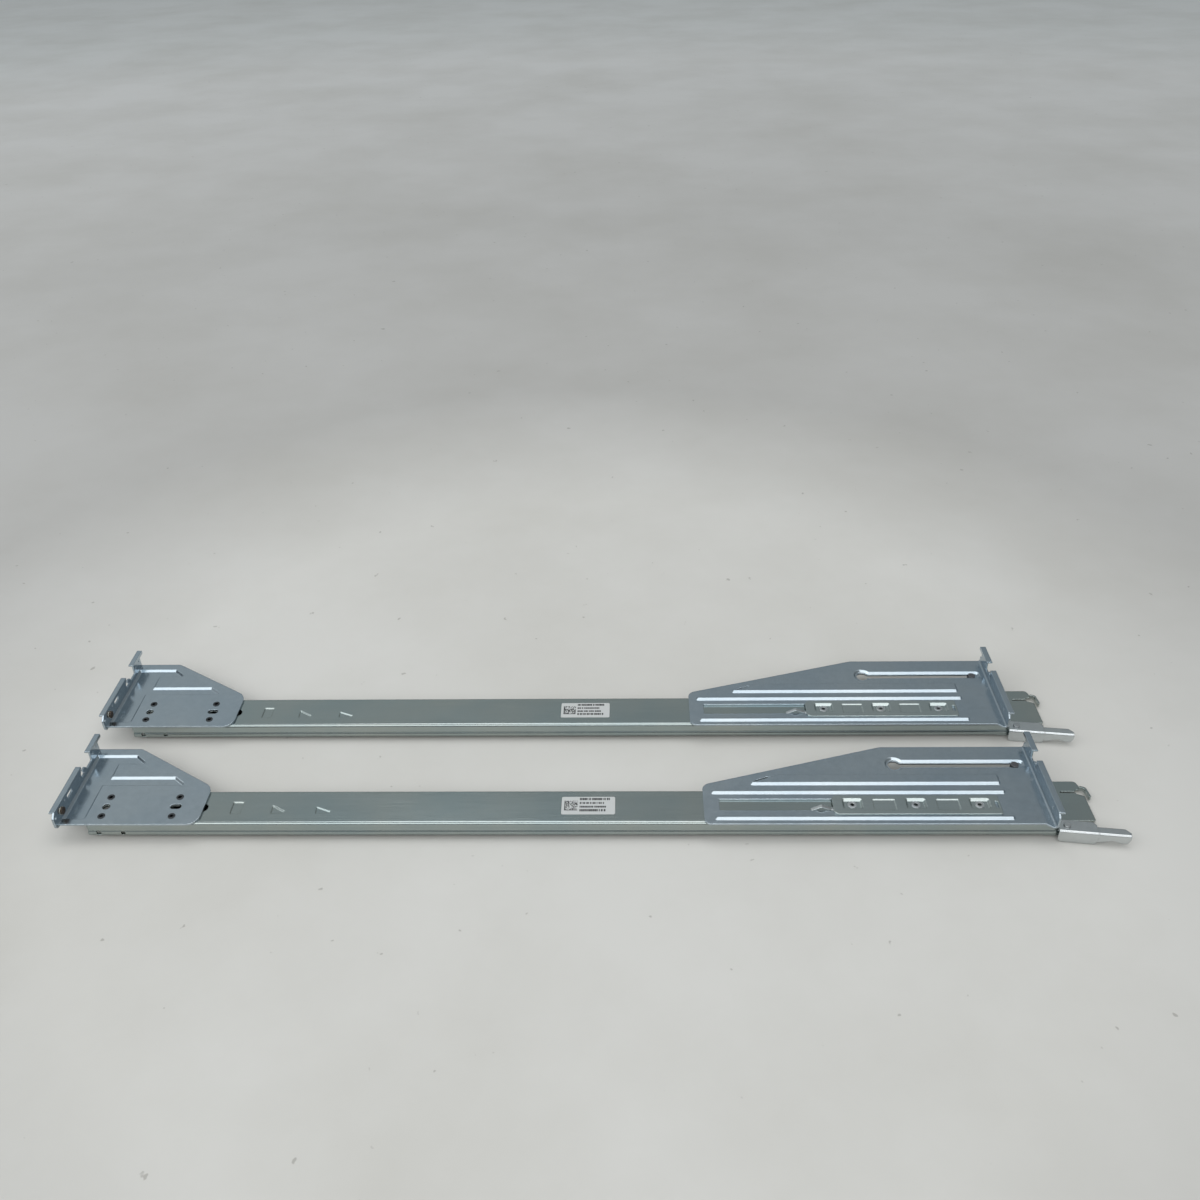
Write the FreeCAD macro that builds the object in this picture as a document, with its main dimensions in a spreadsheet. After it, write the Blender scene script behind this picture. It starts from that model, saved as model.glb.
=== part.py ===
"""Sliding server rail pair: two telescopic ball-bearing rails with two-unit rack brackets.

Each rail lies with its rack side up. X runs along the rail from the front (rack door side)
to the rear, Y across it and Z up from the surface that it lies on. Sizes are millimetres.
"""
import FreeCAD, Part
import math
import os
import re
from types import SimpleNamespace

import Sketcher

V = FreeCAD.Vector
doc = FreeCAD.newDocument("server_rail_pair")

# Driving dimensions, grouped by piece. Every other size is worked out from these.
DIMENSIONS = {
    # the pair, placed about its own middle
    "pair_middle_x": 366.4,
    "pair_middle_y": 92.15,
    "rail_stagger": -5.4,
    "rail_spacing": 107.6,
    # channel
    "channel_length": 711.0,
    "channel_width": 36.0,
    "channel_sheet": 1.5,
    "web_top": 15.0,
    "web_bend": 1.6,
    "wall_inset": 1.3,
    "crease_bend": 1.0,
    "rim_reach": 2.6,
    "side_hole_height": 6.0,
    "side_square_x": 8.05,
    "side_square": 3.6,
    "side_hole_x": 26.3,
    "side_hole_radius": 1.7,
    "web_hole_x": 82.5,
    "web_hole_radius": 4.2,
    # pressed stops in the web
    "stop_y": 17.1,
    "stop_length": 12.4,
    "stop_press": 0.9,
    "square_stop_x": 104.2,
    "square_stop_width": 8.4,
    "wide_stop_x": 134.8,
    "wide_stop_width": 13.0,
    "narrow_stop_x": 168.2,
    "narrow_stop_width": 15.0,
    "press_angle": 42.0,
    "press_foot": 0.2,
    # balls and their cages
    "ball_radius": 1.5,
    "ball_clearance": 0.06,
    "ball_row_spacing": 3.7,
    "outer_ball_height": 5.6,
    "groove_angle": 60.0,
    "balls_in_row": 6,
    "cage_sheet": 0.4,
    "cage_start": 182.0,
    "cage_length": 330.0,
    "cage_seat_gap": 0.1,
    "cage_bend": 0.8,
    "cage_rim_drop": 1.5,
    "cage_gap": 0.2,
    "cage_window": 32.0,
    "cage_window_width": 12.0,
    # middle member
    "member_sheet": 1.2,
    "member_lip": 1.8,
    "middle_front_gap": 14.0,
    "middle_rear_gap": 22.0,
    "middle_web_height": 11.9,
    "middle_bend": 1.0,
    "relief_first": 72.0,
    "relief_pitch": 160.0,
    "relief_length": 35.0,
    "relief_width": 8.0,
    # chassis member
    "inner_sheet": 1.3,
    "inner_bend": 1.3,
    "inner_foot": 3.0,
    "inner_front_gap": 5.0,
    "inner_rear_gap": 3.0,
    "tongue_reach": 11.0,
    "tongue_lap": 11.0,
    "tongue_width": 18.0,
    "keyhole_first": 140.0,
    "keyhole_pitch": 160.0,
    "keyhole_radius": 4.6,
    "keyhole_slot": 13.0,
    "keyhole_slot_width": 5.2,
    # disconnect lever
    "lever_sheet": 1.2,
    "lever_gap": 0.15,
    "disconnect_x": 60.0,
    "disconnect_length": 79.0,
    "disconnect_width": 6.8,
    "disconnect_head": 22.0,
    "disconnect_tab": 5.4,
    "disconnect_pin": 1.5,
    # chassis lock
    "lock_reach": 60.0,
    "lock_length": 52.0,
    "lock_width": 8.0,
    "lock_sheet": 0.5,
    "lock_lift": 1.35,
    "lock_pin": 1.0,
    "lock_height": 3.4,
    "lug_sheet": 1.1,
    "lug_gap": 0.3,
    "lug_width": 5.6,
    # brackets
    "plate_sheet": 1.5,
    "flange_top": 28.0,
    "bracket_depth": 79.6,
    "bracket_overhang": 1.0,
    "flange_bend": 2.75,
    "lip_reach": 2.9,
    "foot_overhang": 4.5,
    "foot_drop": 2.2,
    "flange_foot": 0.6,
    "notch_rise": 1.2,
    "notch_slope": 3.5,
    "notch_shoulder": 6.0,
    "tab_slope": 3.0,
    "tab_shoulder": 8.0,
    "tab_reach": 7.0,
    "tab_height": 2.6,
    "hook_width": 5.6,
    "hook_height": 8.2,
    "hook_throat": 4.6,
    "hook_reach": 1.2,
    # front bracket
    "front_flange_gap": 20.1,
    "front_plate_right": 84.0,
    "front_plate_shoulder": 37.5,
    "front_plate_neck": 14.9,
    "front_lip_end": 47.5,
    "front_tab_start": 64.5,
    "front_tab_end": 85.0,
    "front_hook_y": 49.2,
    "recess_depth": 1.8,
    "recess_near": 4.3,
    "recess_far": 72.9,
    "recess_strip": 17.3,
    "recess_island": 21.2,
    "long_finger_y": 39.2,
    "long_finger_width": 9.5,
    "long_finger_end": 64.0,
    "short_finger_y": 62.8,
    "short_finger_end": 25.4,
    "finger_slope": 12.0,
    "front_rivet_x": 10.0,
    "front_rivet_pitch": 52.7,
    "front_rivet_width": 19.3,
    "front_rivet_y": 16.95,
    "front_hole_radius": 2.9,
    "front_slot_length": 3.6,
    "front_slot_width": 4.8,
    "flange_slot_y": 19.6,
    "flange_slot_length": 8.4,
    "flange_slot_height": 23.5,
    "flange_slot_width": 3.4,
    # captive screw
    "screw_y": 8.0,
    "screw_height": 21.5,
    "screw_radius": 1.85,
    "screw_hole": 1.93,
    "screw_reach": 2.9,
    "screw_head": 2.9,
    "screw_head_rise": 1.0,
    "screw_groove": 0.8,
    "washer_radius": 3.3,
    "washer_sheet": 0.4,
    # rear bracket
    "rear_sheet": 1.4,
    "rear_flange_gap": 2.0,
    "rear_plate_length": 252.7,
    "rear_plate_shoulder": 38.9,
    "rear_plate_neck": 112.4,
    "rear_lip_reach": 3.3,
    "rear_lip_end": 52.0,
    "rear_tab_start": 63.3,
    "rear_tab_end": 84.5,
    "rear_hook_y": 53.2,
    "rib_rise": 1.6,
    "rib_wall": 1.6,
    "rib_width": 4.3,
    "rib_right": 28.5,
    "near_rib_y": 2.7,
    "near_rib_length": 218.5,
    "middle_rib_y": 28.8,
    "middle_rib_length": 220.0,
    "wide_rib_y": 38.2,
    "wide_rib_width": 11.2,
    "wide_rib_length": 193.5,
    "wide_rib_slope": 28.0,
    "window_right": 42.2,
    "window_length": 198.8,
    "window_width": 11.6,
    "window_corner": 0.6,
    "slot_y": 60.7,
    "slot_right": 10.7,
    "slot_length": 93.8,
    "slot_width": 4.2,
    "slot_press": 1.5,
    "slot_band": 4.3,
    "slot_eye": 7.2,
    "slot_eye_radius": 4.6,
    # slot stud
    "stud_neck": 1.9,
    "stud_head": 3.4,
    "stud_cap": 2.9,
    "stud_head_rise": 1.5,
    "stud_cap_rise": 0.9,
    "stud_gap": 0.1,
    # clamp bar
    "bar_right": 38.0,
    "bar_length": 122.0,
    "bar_width": 18.8,
    "bar_y": 16.8,
    "bar_gap": 0.1,
    "bar_sheet": 1.2,
    "seat_right": 52.5,
    "seat_pitch": 46.5,
    "seat_length": 15.4,
    "seat_width": 10.8,
    "seat_floor": 1.2,
    "seat_wall": 0.3,
    "pan_length": 16.5,
    "pan_press": 0.5,
    "bar_slot_right": 1.3,
    "bar_slot_width": 2.4,
    "bar_slot_length": 6.5,
    # rivets
    "rivet_radius": 2.0,
    "rivet_bore": 1.45,
    "rivet_head": 2.8,
    "rivet_head_rise": 0.4,
    "end_rivet_radius": 1.6,
    "end_rivet_pitch": 5.0,
    # stop leaf
    "leaf_sheet": 0.5,
    "leaf_width": 2.8,
    "leaf_y": 12.6,
    "leaf_reach": 16.2,
    "leaf_rise": 2.9,
    "leaf_bend": 0.8,
    # catch lever
    "pivot_gap": 7.0,
    "pivot_y": 2.5,
    "pin_radius": 1.5,
    "pin_clearance": 0.06,
    "pin_head": 2.6,
    "pin_head_rise": 0.8,
    "ear_under": 3.0,
    "ear_radius": 3.6,
    "catch_angle": -6.6,
    "catch_top": 11.0,
    "catch_sheet": 1.0,
    "catch_bend": 1.3,
    "catch_back": 6.2,
    "catch_box": 21.2,
    "catch_box_far": 5.4,
    "catch_side": 5.2,
    "catch_tongue": 43.8,
    "catch_tongue_far": 1.0,
    "catch_tongue_drop": 0.3,
    "catch_tongue_rise": 2.6,
    "catch_dip": 2.6,
    "arm_under": 5.4,
    "arm_width": 2.0,
    "hook_end": 27.0,
    "hook_tip": 3.6,
    "catch_notch_gap": 0.8,
    "catch_notch_width": 7.6,
    # springs
    "spring_wire": 0.32,
    "spring_radius": 2.2,
    "spring_turns": 3,
    "spring_gap": 0.03,
    # end plate
    "end_plate_gap": 2.0,
    "end_plate_length": 36.0,
    "end_plate_near": 15.2,
    "end_plate_far": 55.6,
    "end_plate_sheet": 1.3,
    "end_slot_y": 43.5,
    "end_slot_width": 1.6,
    "end_slot_length": 11.6,
    "end_step": 5.4,
    "end_hook_rise": 3.6,
    "end_hook_sheet": 1.4,
    "end_hook_start": 37.0,
    "end_hook_reach": 3.5,
    # bumper
    "bumper_gap": 0.6,
    "bumper_length": 16.4,
    "bumper_width": 16.0,
    "bumper_drop": 3.1,
}

sheet = doc.addObject("Spreadsheet::Sheet", "dims")
for row, (alias, value) in enumerate(DIMENSIONS.items(), start=1):
    sheet.set("A%d" % row, alias)
    sheet.set("B%d" % row, repr(value))
    sheet.setAlias("B%d" % row, alias)
doc.recompute()
d = SimpleNamespace(**{alias: float(sheet.get(alias)) for alias in DIMENSIONS})


# ---------------------------------------------------------------- sketching helpers
def bind(item, prop, text):
    """Bind a property to an expression; bare words are aliases of the sheet."""
    item.setExpression(prop, re.sub(r"([a-z_]+[a-z])", r"dims.\1", text))


def rounded(corners):
    """Lines and arcs of a closed outline whose corners are (x, y, radius)."""
    count = len(corners)
    bends = []
    for i in range(count):
        x, y, radius = corners[i]
        here = V(x, y, 0)
        back = V(corners[i - 1][0], corners[i - 1][1], 0) - here
        ahead = V(corners[(i + 1) % count][0], corners[(i + 1) % count][1], 0) - here
        back.normalize()
        ahead.normalize()
        half = back.getAngle(ahead) / 2
        reach = radius / math.tan(half) if radius else 0.0
        left_turn = ahead.cross(back).z > 0
        middle = None
        if radius:
            middle = here + (back + ahead).normalize() * (radius / math.sin(half))
        bends.append((here + back * reach, here + ahead * reach, middle, radius, left_turn))
    parts = []
    for i in range(count):
        enter, leave, middle, radius, left_turn = bends[i]
        if radius:
            first, last = (enter, leave) if left_turn else (leave, enter)
            start = math.atan2(first.y - middle.y, first.x - middle.x)
            stop = math.atan2(last.y - middle.y, last.x - middle.x)
            if stop < start:
                stop += 2 * math.pi
            parts.append(Part.ArcOfCircle(Part.Circle(middle, V(0, 0, 1), radius), start, stop))
        following = bends[(i + 1) % count][0]
        if (following - leave).Length > 1e-6:
            parts.append(Part.LineSegment(leave, following))
    return parts


def circle(x, y, radius):
    return [Part.Circle(V(x, y, 0), V(0, 0, 1), radius)]


def box(x0, y0, x1, y1, radius=0.0):
    """Rectangle from corner to corner with equal corner radii."""
    return rounded([(x0, y0, radius), (x1, y0, radius), (x1, y1, radius), (x0, y1, radius)])


def centred_box(x, y, length, width, radius=0.0):
    return box(x - length / 2, y - width / 2, x + length / 2, y + width / 2, radius)


def slot(x0, x1, y, width):
    """Straight slot along x between two end centres."""
    half = width / 2
    right = Part.ArcOfCircle(Part.Circle(V(x1, y, 0), V(0, 0, 1), half), -math.pi / 2, math.pi / 2)
    left = Part.ArcOfCircle(Part.Circle(V(x0, y, 0), V(0, 0, 1), half), math.pi / 2, math.pi * 1.5)
    near = Part.LineSegment(V(x0, y - half, 0), V(x1, y - half, 0))
    far = Part.LineSegment(V(x1, y + half, 0), V(x0, y + half, 0))
    return [near, right, far, left]


def bent(path, thick):
    """Closed outline of a sheet bent along path: (x, y, bend radius at mid thickness)."""
    outline = []
    for side in (1, -1):
        edge = []
        for i, (x, y, radius) in enumerate(path):
            normals = []
            for a, b in ((i - 1, i), (i, i + 1)):
                if a >= 0 and b < len(path):
                    run = V(path[b][0] - path[a][0], path[b][1] - path[a][1], 0).normalize()
                    normals.append(V(-run.y, run.x, 0))
            if len(normals) == 1:
                shift = normals[0]
                bend = 0.0
            else:
                shift = (normals[0] + normals[1]) * (1 / (1 + normals[0].dot(normals[1])))
                turn = math.copysign(1, normals[0].cross(normals[1]).z)
                bend = max(radius - side * turn * thick / 2, 0.0)
            edge.append((x + side * shift.x * thick / 2, y + side * shift.y * thick / 2, bend))
        outline += edge if side == 1 else edge[::-1]
    return rounded(outline[::-1])


def both_sides(half):
    """Whole section path across the rail from its half, given outwards from the middle."""
    left = [(centre_y - u, z, radius) for u, z, radius in reversed(half)]
    right = [(centre_y + u, z, radius) for u, z, radius in half]
    return left + right


def pressed_bend(depth):
    """Corner radius that is still round at the foot of a pressed slope of this depth."""
    return depth * math.tan(math.radians(d.press_angle)) + d.press_foot


class Piece:
    """One sub-part: a PartDesign body whose sketches lie on its own origin planes."""

    def __init__(self, rail, name):
        self.body = doc.addObject("PartDesign::Body", rail.name + "_" + name)
        self.body.Label = rail.name + "_" + name
        self.body.AllowCompound = True
        rail.place(self.body)
        rail.pieces.append(self.body)

    def sketch(self, plane, level, outlines):
        """Sketch on XY, XZ or YZ at a height along Z, Y or X, given in sheet words."""
        sketch = self.body.newObject("Sketcher::SketchObject", "outline")
        origin = self.body.Origin.OriginFeatures
        support = next(item for item in origin if item.Role == plane + "_Plane")
        sketch.AttachmentSupport = [(support, "")]
        sketch.MapMode = "FlatFace"
        level = str(level)
        bind(sketch, "AttachmentOffset.Base.z", "-(%s)" % level if plane == "XZ" else level)
        for outline in outlines:
            sketch.addGeometry(outline, False)
        return sketch

    def grow(self, plane, level, length, *outlines, taper=0.0):
        """Pad towards +Z or +X, or towards -Y from an XZ sketch."""
        pad = self.body.newObject("PartDesign::Pad", "pad")
        pad.Profile = self.sketch(plane, level, outlines)
        bind(pad, "Length", str(length))
        pad.TaperAngle = taper
        pad.Profile[0].Visibility = False

    def cut(self, plane, level, length, *outlines, taper=0.0):
        """Pocket towards -Z or -X, or towards +Y from an XZ sketch."""
        pocket = self.body.newObject("PartDesign::Pocket", "pocket")
        pocket.Profile = self.sketch(plane, level, outlines)
        bind(pocket, "Length", str(length))
        pocket.TaperAngle = taper


class Rail:
    """One of the two rails, with the pieces made for it so far."""

    def __init__(self, name, shift_x, shift_y):
        self.name = name
        self.shift = (shift_x, shift_y)
        self.pieces = []

    def place(self, item, x="0", y="0"):
        bind(item, "Placement.Base.x", "%s + %s" % (self.shift[0], x))
        bind(item, "Placement.Base.y", "%s + %s" % (self.shift[1], y))


# ---------------------------------------------------------------- places along the rail
centre_y = d.channel_width / 2
web_under = d.web_top - d.channel_sheet
plate_top = d.web_top + d.plate_sheet
front_face = -d.front_flange_gap
rear_face = d.channel_length - d.rear_flange_gap
middle_end = d.channel_length - d.middle_rear_gap
inner_end = d.channel_length - d.inner_rear_gap
pivot_x = d.channel_length + d.pivot_gap
bar_right = d.channel_length - d.bar_right
bar_left = bar_right - d.bar_length
last_seat = d.channel_length - d.seat_right
seat_places = [last_seat - i * d.seat_pitch for i in (2, 1, 0)]
front_rivet_places = [
    (d.front_rivet_x + i * d.front_rivet_pitch, d.front_rivet_y + j * d.front_rivet_width / 2)
    for i in (0, 1) for j in (-1, 1)]
keyhole_count = int((inner_end - d.keyhole_first - 2 * d.keyhole_slot) / d.keyhole_pitch) + 1
keyhole_places = [d.keyhole_first + i * d.keyhole_pitch for i in range(keyhole_count)]
lock_x = keyhole_places[1] - d.lock_reach
end_rivet_x = d.channel_length + d.tongue_reach - 6.5
end_rivet_places = [(end_rivet_x, centre_y + 1.5), (end_rivet_x, centre_y + 1.5 + d.end_rivet_pitch)]

# ---------------------------------------------------------------- telescopic section
fit = d.ball_radius + d.ball_clearance
lean = math.radians(d.groove_angle)
outer_ball_u = centre_y - d.channel_sheet - fit
inner_ball_u = outer_ball_u - d.ball_row_spacing
member_bend = fit + d.member_sheet / 2
member_reach = member_bend / math.sin(lean)
inner_ball_height = (
    d.outer_ball_height + (2 * member_reach - d.ball_row_spacing) * math.tan(lean))
ball_pitch = d.cage_length / d.balls_in_row
ball_places = [d.cage_start + ball_pitch * (i + 0.5) for i in range(int(d.balls_in_row))]


def along(u, z, outwards, upwards, length):
    """Point at a length from (u, z) along a leg that leans by the groove angle."""
    return (u + outwards * length * math.cos(lean), z + upwards * length * math.sin(lean))


def channel_path():
    """Roll-formed channel: web, inset upper wall, crease, ball groove and rim."""
    bend = fit + d.channel_sheet / 2
    u = outer_ball_u + bend / math.sin(lean)
    wall = outer_ball_u + d.wall_inset
    crease = d.outer_ball_height + (u - wall) * math.tan(lean)
    web = d.web_top - d.channel_sheet / 2
    rim = along(u, d.outer_ball_height, -1, -1, d.rim_reach)
    return both_sides([
        (wall, web, d.web_bend), (wall, crease, d.crease_bend),
        (u, d.outer_ball_height, bend), (*rim, 0)])


def middle_path():
    """Middle member: web with S-shaped flanges that hold a ball row on either face."""
    upper_u = inner_ball_u + member_reach
    lower_u = outer_ball_u - member_reach
    web_u = upper_u - (d.middle_web_height - inner_ball_height) / math.tan(lean)
    lip = along(lower_u, d.outer_ball_height, 1, -1, d.member_lip)
    return both_sides([
        (web_u, d.middle_web_height, d.middle_bend), (upper_u, inner_ball_height, member_bend),
        (lower_u, d.outer_ball_height, member_bend), (*lip, 0)])


def inner_half():
    """Half of the chassis member: low web whose flanges lean in to the inner ball grooves."""
    groove_u = inner_ball_u - member_reach
    web = d.inner_sheet / 2
    web_u = groove_u + (inner_ball_height - web) / math.tan(lean)
    lip = along(groove_u, inner_ball_height, 1, 1, d.member_lip)
    return [(web_u - d.inner_foot, web, 0), (web_u, web, d.inner_bend),
            (groove_u, inner_ball_height, member_bend), (*lip, 0)]


def make_channel(rail):
    """Outer channel with pressed stops, side holes and the ear that carries the catch."""
    piece = Piece(rail, "outer_channel")
    piece.grow("YZ", 0, "channel_length", bent(channel_path(), d.channel_sheet))
    ear_end = pivot_x + d.ear_radius
    ear_far = d.pivot_y + d.ear_radius
    root = d.channel_length - 9
    piece.grow("XY", "ear_under", "channel_sheet", rounded([
        (root, 0.45, 0), (ear_end, 0, 2), (ear_end, ear_far, 2.4), (d.channel_length, ear_far, 1),
        (d.channel_length - 2, 5, 1), (root, 5, 1)]))
    near = d.stop_y - d.stop_length / 2
    far = d.stop_y + d.stop_length / 2
    right = d.square_stop_x + d.square_stop_width
    corner = pressed_bend(d.stop_press)
    stops = [box(d.square_stop_x, near, right, far, corner)]
    for x, width, reach in ((d.wide_stop_x, d.wide_stop_width, 0.75),
                            (d.narrow_stop_x, d.narrow_stop_width, 0.6)):
        stops.append(rounded([
            (x, near, corner), (x + width, near + 1.3, corner),
            (x, near + d.stop_length * reach, corner)]))
    for stop in stops:
        piece.cut("XY", "web_top", "stop_press", stop, taper=-d.press_angle)
    holes = [circle(x, y, d.rivet_radius) for x, y in front_rivet_places]
    holes += [circle(x, centre_y, d.rivet_radius) for x in seat_places]
    holes.append(circle(d.web_hole_x, d.stop_y, d.web_hole_radius))
    holes += front_plate_holes()
    piece.cut("XY", "web_top", "channel_sheet", *holes)
    piece.cut("XZ", -1, "channel_width + 2",
              centred_box(d.side_square_x, d.side_hole_height, d.side_square, d.side_square, 0.3),
              circle(d.side_hole_x, d.side_hole_height, d.side_hole_radius))
    piece.cut("XY", "ear_under + 2", 4, circle(pivot_x, d.pivot_y, d.pin_radius))


def make_middle(rail):
    piece = Piece(rail, "middle_member")
    length = middle_end - d.middle_front_gap
    piece.grow("YZ", "middle_front_gap", length, bent(middle_path(), d.member_sheet))
    half = (d.relief_length - d.relief_width) / 2
    count = int((middle_end - d.relief_first - half) / d.relief_pitch) + 1
    middles = [d.relief_first + i * d.relief_pitch for i in range(count)]
    reliefs = [slot(x - half, x + half, centre_y, d.relief_width) for x in middles]
    piece.cut("XY", "middle_web_height + member_sheet", "member_sheet * 2", *reliefs)


def make_inner(rail):
    """Chassis member's web, with keyholes for the chassis studs and lugs for the lock."""
    piece = Piece(rail, "inner_member")
    edge = inner_half()[0][0]
    piece.grow("XY", 0, "inner_sheet", box(
        d.inner_front_gap, centre_y - edge, inner_end, centre_y + edge))
    piece.grow("XY", 0, "inner_sheet", box(
        d.channel_length - d.tongue_lap, centre_y - d.tongue_width / 2,
        d.channel_length + d.tongue_reach, centre_y + d.tongue_width / 2, 2))
    for x in keyhole_places:
        piece.cut("XY", "inner_sheet + 1", "inner_sheet + 2", circle(x, centre_y, d.keyhole_radius))
        piece.cut("XY", "inner_sheet + 1", "inner_sheet + 2",
                  slot(x, x + d.keyhole_slot, centre_y, d.keyhole_slot_width))
    pins = [circle(x, y, d.end_rivet_radius) for x, y in end_rivet_places]
    pins.append(circle(d.disconnect_x, centre_y, d.disconnect_pin))
    piece.cut("XY", "inner_sheet + 1", "inner_sheet + 2", *pins)
    reach = d.lock_width / 2 + d.lug_gap
    foot = d.lug_width / 2
    tip = foot - 0.6
    for start in (centre_y - reach, centre_y + reach + d.lug_sheet):
        piece.grow("XZ", start, "lug_sheet", rounded([
            (lock_x - foot, 1, 0), (lock_x + foot, 1, 0),
            (lock_x + tip, d.lock_height + 2.2, 1.6), (lock_x - tip, d.lock_height + 2.2, 1.6)]))
    piece.cut("XZ", centre_y - d.lock_width, 2 * d.lock_width,
              circle(lock_x, d.lock_height, d.lock_pin))


def make_inner_flanges(rail):
    """Bent flanges of the chassis member, with the notch that the catch's hook stands in."""
    piece = Piece(rail, "inner_member_flanges")
    half = inner_half()
    flanges = [bent([(centre_y + side * u, z, radius) for u, z, radius in half], d.inner_sheet)
               for side in (-1, 1)]
    piece.grow("YZ", "inner_front_gap", inner_end - d.inner_front_gap, *flanges)
    notch = pivot_x - d.hook_end - d.catch_notch_gap
    piece.cut("XZ", 4, 8, box(notch, 4.2, notch + d.catch_notch_width, 10.5, 0.5))


def make_cage(rail, name, u, top, height):
    """Ball cage: a thin channel with a round seat for each ball in both sides."""
    piece = Piece(rail, name)
    path = both_sides([(u, top, d.cage_bend), (u, height - d.cage_rim_drop, 0)])
    piece.grow("YZ", "cage_start", "cage_length", bent(path, d.cage_sheet))
    seats = [circle(x, height, d.ball_radius + d.cage_seat_gap) for x in ball_places]
    piece.cut("XZ", -1, "channel_width + 2", *seats)
    windows = [centred_box(x, centre_y, d.cage_window, d.cage_window_width, 2) for x in ball_places]
    piece.cut("XY", "web_top", 7, *windows)


def make_balls(rail, name, u, height):
    """Two rows of steel balls, one on each side of the rail."""
    balls = []
    for side in (-1, 1):
        for x in ball_places:
            ball = doc.addObject("Part::Sphere", "ball")
            bind(ball, "Radius", "ball_radius")
            ball.Placement.Base = V(x, centre_y + side * u, height)
            balls.append(ball)
    rows = doc.addObject("Part::Compound", rail.name + "_" + name)
    rows.Label = rail.name + "_" + name
    rows.Links = balls
    rail.place(rows)
    rail.pieces.append(rows)


def make_rivets(rail, name, places, top, bottom, radius, head, bore=0.0):
    """Rivets from bottom to top with a low head; bore is the hole of a tubular one."""
    piece = Piece(rail, name)
    piece.grow("XY", bottom, top - bottom, *[circle(x, y, radius) for x, y in places])
    piece.grow("XY", top, "rivet_head_rise", *[circle(x, y, head) for x, y in places], taper=-20)
    if bore:
        piece.cut("XY", "web_top * 2", "web_top * 2", *[circle(x, y, bore) for x, y in places])


def make_catch_spring(rail):
    """Coil round the catch's pin: a round wire swept along a helix."""
    start = d.arm_under + d.catch_sheet + d.spring_wire + d.spring_gap
    stop = d.catch_top - d.catch_sheet - d.spring_wire - d.spring_gap
    helix = doc.addObject("Part::Helix", "helix")
    helix.Pitch = (stop - start) / d.spring_turns
    helix.Height = stop - start
    bind(helix, "Radius", "spring_radius")
    section = doc.addObject("Part::Circle", "wire")
    bind(section, "Radius", "spring_wire")
    section.Placement = FreeCAD.Placement(
        V(d.spring_radius, 0, 0), FreeCAD.Rotation(V(1, 0, 0), 90))
    coil = doc.addObject("Part::Sweep", rail.name + "_catch_spring")
    coil.Label = rail.name + "_catch_spring"
    coil.Sections = [section]
    coil.Spine = helix
    coil.Solid = True
    coil.Frenet = True
    coil.Placement.Base.z = start
    rail.place(coil, "channel_length + pivot_gap", "pivot_y")
    rail.pieces.append(coil)


# ---------------------------------------------------------------- rack flanges
def flange_outline(lip_end, tab_start, tab_end):
    """Two-unit rack flange in the YZ plane: lower wall, notch and upper tab."""
    top = d.flange_top
    base = plate_top - d.flange_foot
    foot = -d.foot_overhang
    foot_base = plate_top - d.foot_drop
    floor = base + d.notch_rise
    neck = tab_end - d.tab_reach
    return rounded([
        (foot, foot_base, 3), (1, foot_base, 1), (2, base, 0.5), (neck, base, 0),
        (neck, top - d.tab_height, 1), (tab_end, top - d.tab_height, 0.8), (tab_end, top, 0),
        (tab_start, top, 0), (tab_start - 0.6, top - d.tab_shoulder, 2),
        (tab_start - d.tab_slope, floor, 1.5), (lip_end - 2, floor, 1.5),
        (lip_end - d.notch_slope, top - d.notch_shoulder, 2), (lip_end, top, 0),
        (foot + 4, top, 0), (foot, top - 4, 2.5)])


def hook_outline(y):
    """Finger that hangs the flange in a square rack hole while it is fastened."""
    base = plate_top - d.flange_foot
    top = base + d.hook_height
    throat = base + d.hook_throat
    return rounded([
        (y, base, 0), (y + d.hook_width, base, 0), (y + d.hook_width - 0.4, throat - 0.6, 1),
        (y + d.hook_width - 2.4, top - 0.6, 1), (y - d.hook_reach, top, 1),
        (y - d.hook_reach / 2, throat + 0.4, 0.6), (y + d.hook_reach, throat, 0.6)])


def lip_outline(back, front, sheet):
    """Top edge of a flange, folded outwards: back is the inner face and front the lip's tip."""
    top = d.flange_top
    return rounded([
        (back, top - sheet, 0), (front, top - sheet, 0.5), (front, top, 0.5), (back, top, 1.2)])


# ---------------------------------------------------------------- front bracket
def front_plate_holes():
    """The locating hole and slot that the channel and the front bracket share."""
    x = d.front_rivet_x
    half = d.front_slot_length / 2
    middle = x + d.front_rivet_pitch
    return [circle(x, d.front_rivet_y, d.front_hole_radius),
            slot(middle - half, middle + half, d.front_rivet_y, d.front_slot_width)]


def front_recesses(spread):
    """Three overlapping pressed areas: a strip beside the flange and two fingers."""
    left = front_face + d.plate_sheet
    near = d.recess_near - spread
    far = d.recess_far + spread
    strip = left + d.recess_strip + spread
    island = left + d.recess_island + spread
    long_near = d.long_finger_y - spread
    long_far = d.long_finger_y + d.long_finger_width + spread
    long_end = d.long_finger_end + spread
    short_near = d.short_finger_y - spread
    short_end = d.short_finger_end + spread
    bend = pressed_bend(d.recess_depth)
    return [
        rounded([(left, near, 0), (strip, near, bend), (strip, long_far, bend), (left, long_far, 0)]),
        rounded([(left, long_near + 1, 0), (island, long_near + 1, bend), (island, far, bend),
                 (left, far, 0)]),
        rounded([(left, long_near, 0), (long_end, long_near, bend),
                 (long_end - d.finger_slope, long_far, bend), (left, long_far, 0)]),
        rounded([(left, short_near, 0), (short_end, short_near, bend),
                 (short_end - d.finger_slope, far, bend), (left, far, 0)]),
    ]


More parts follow.
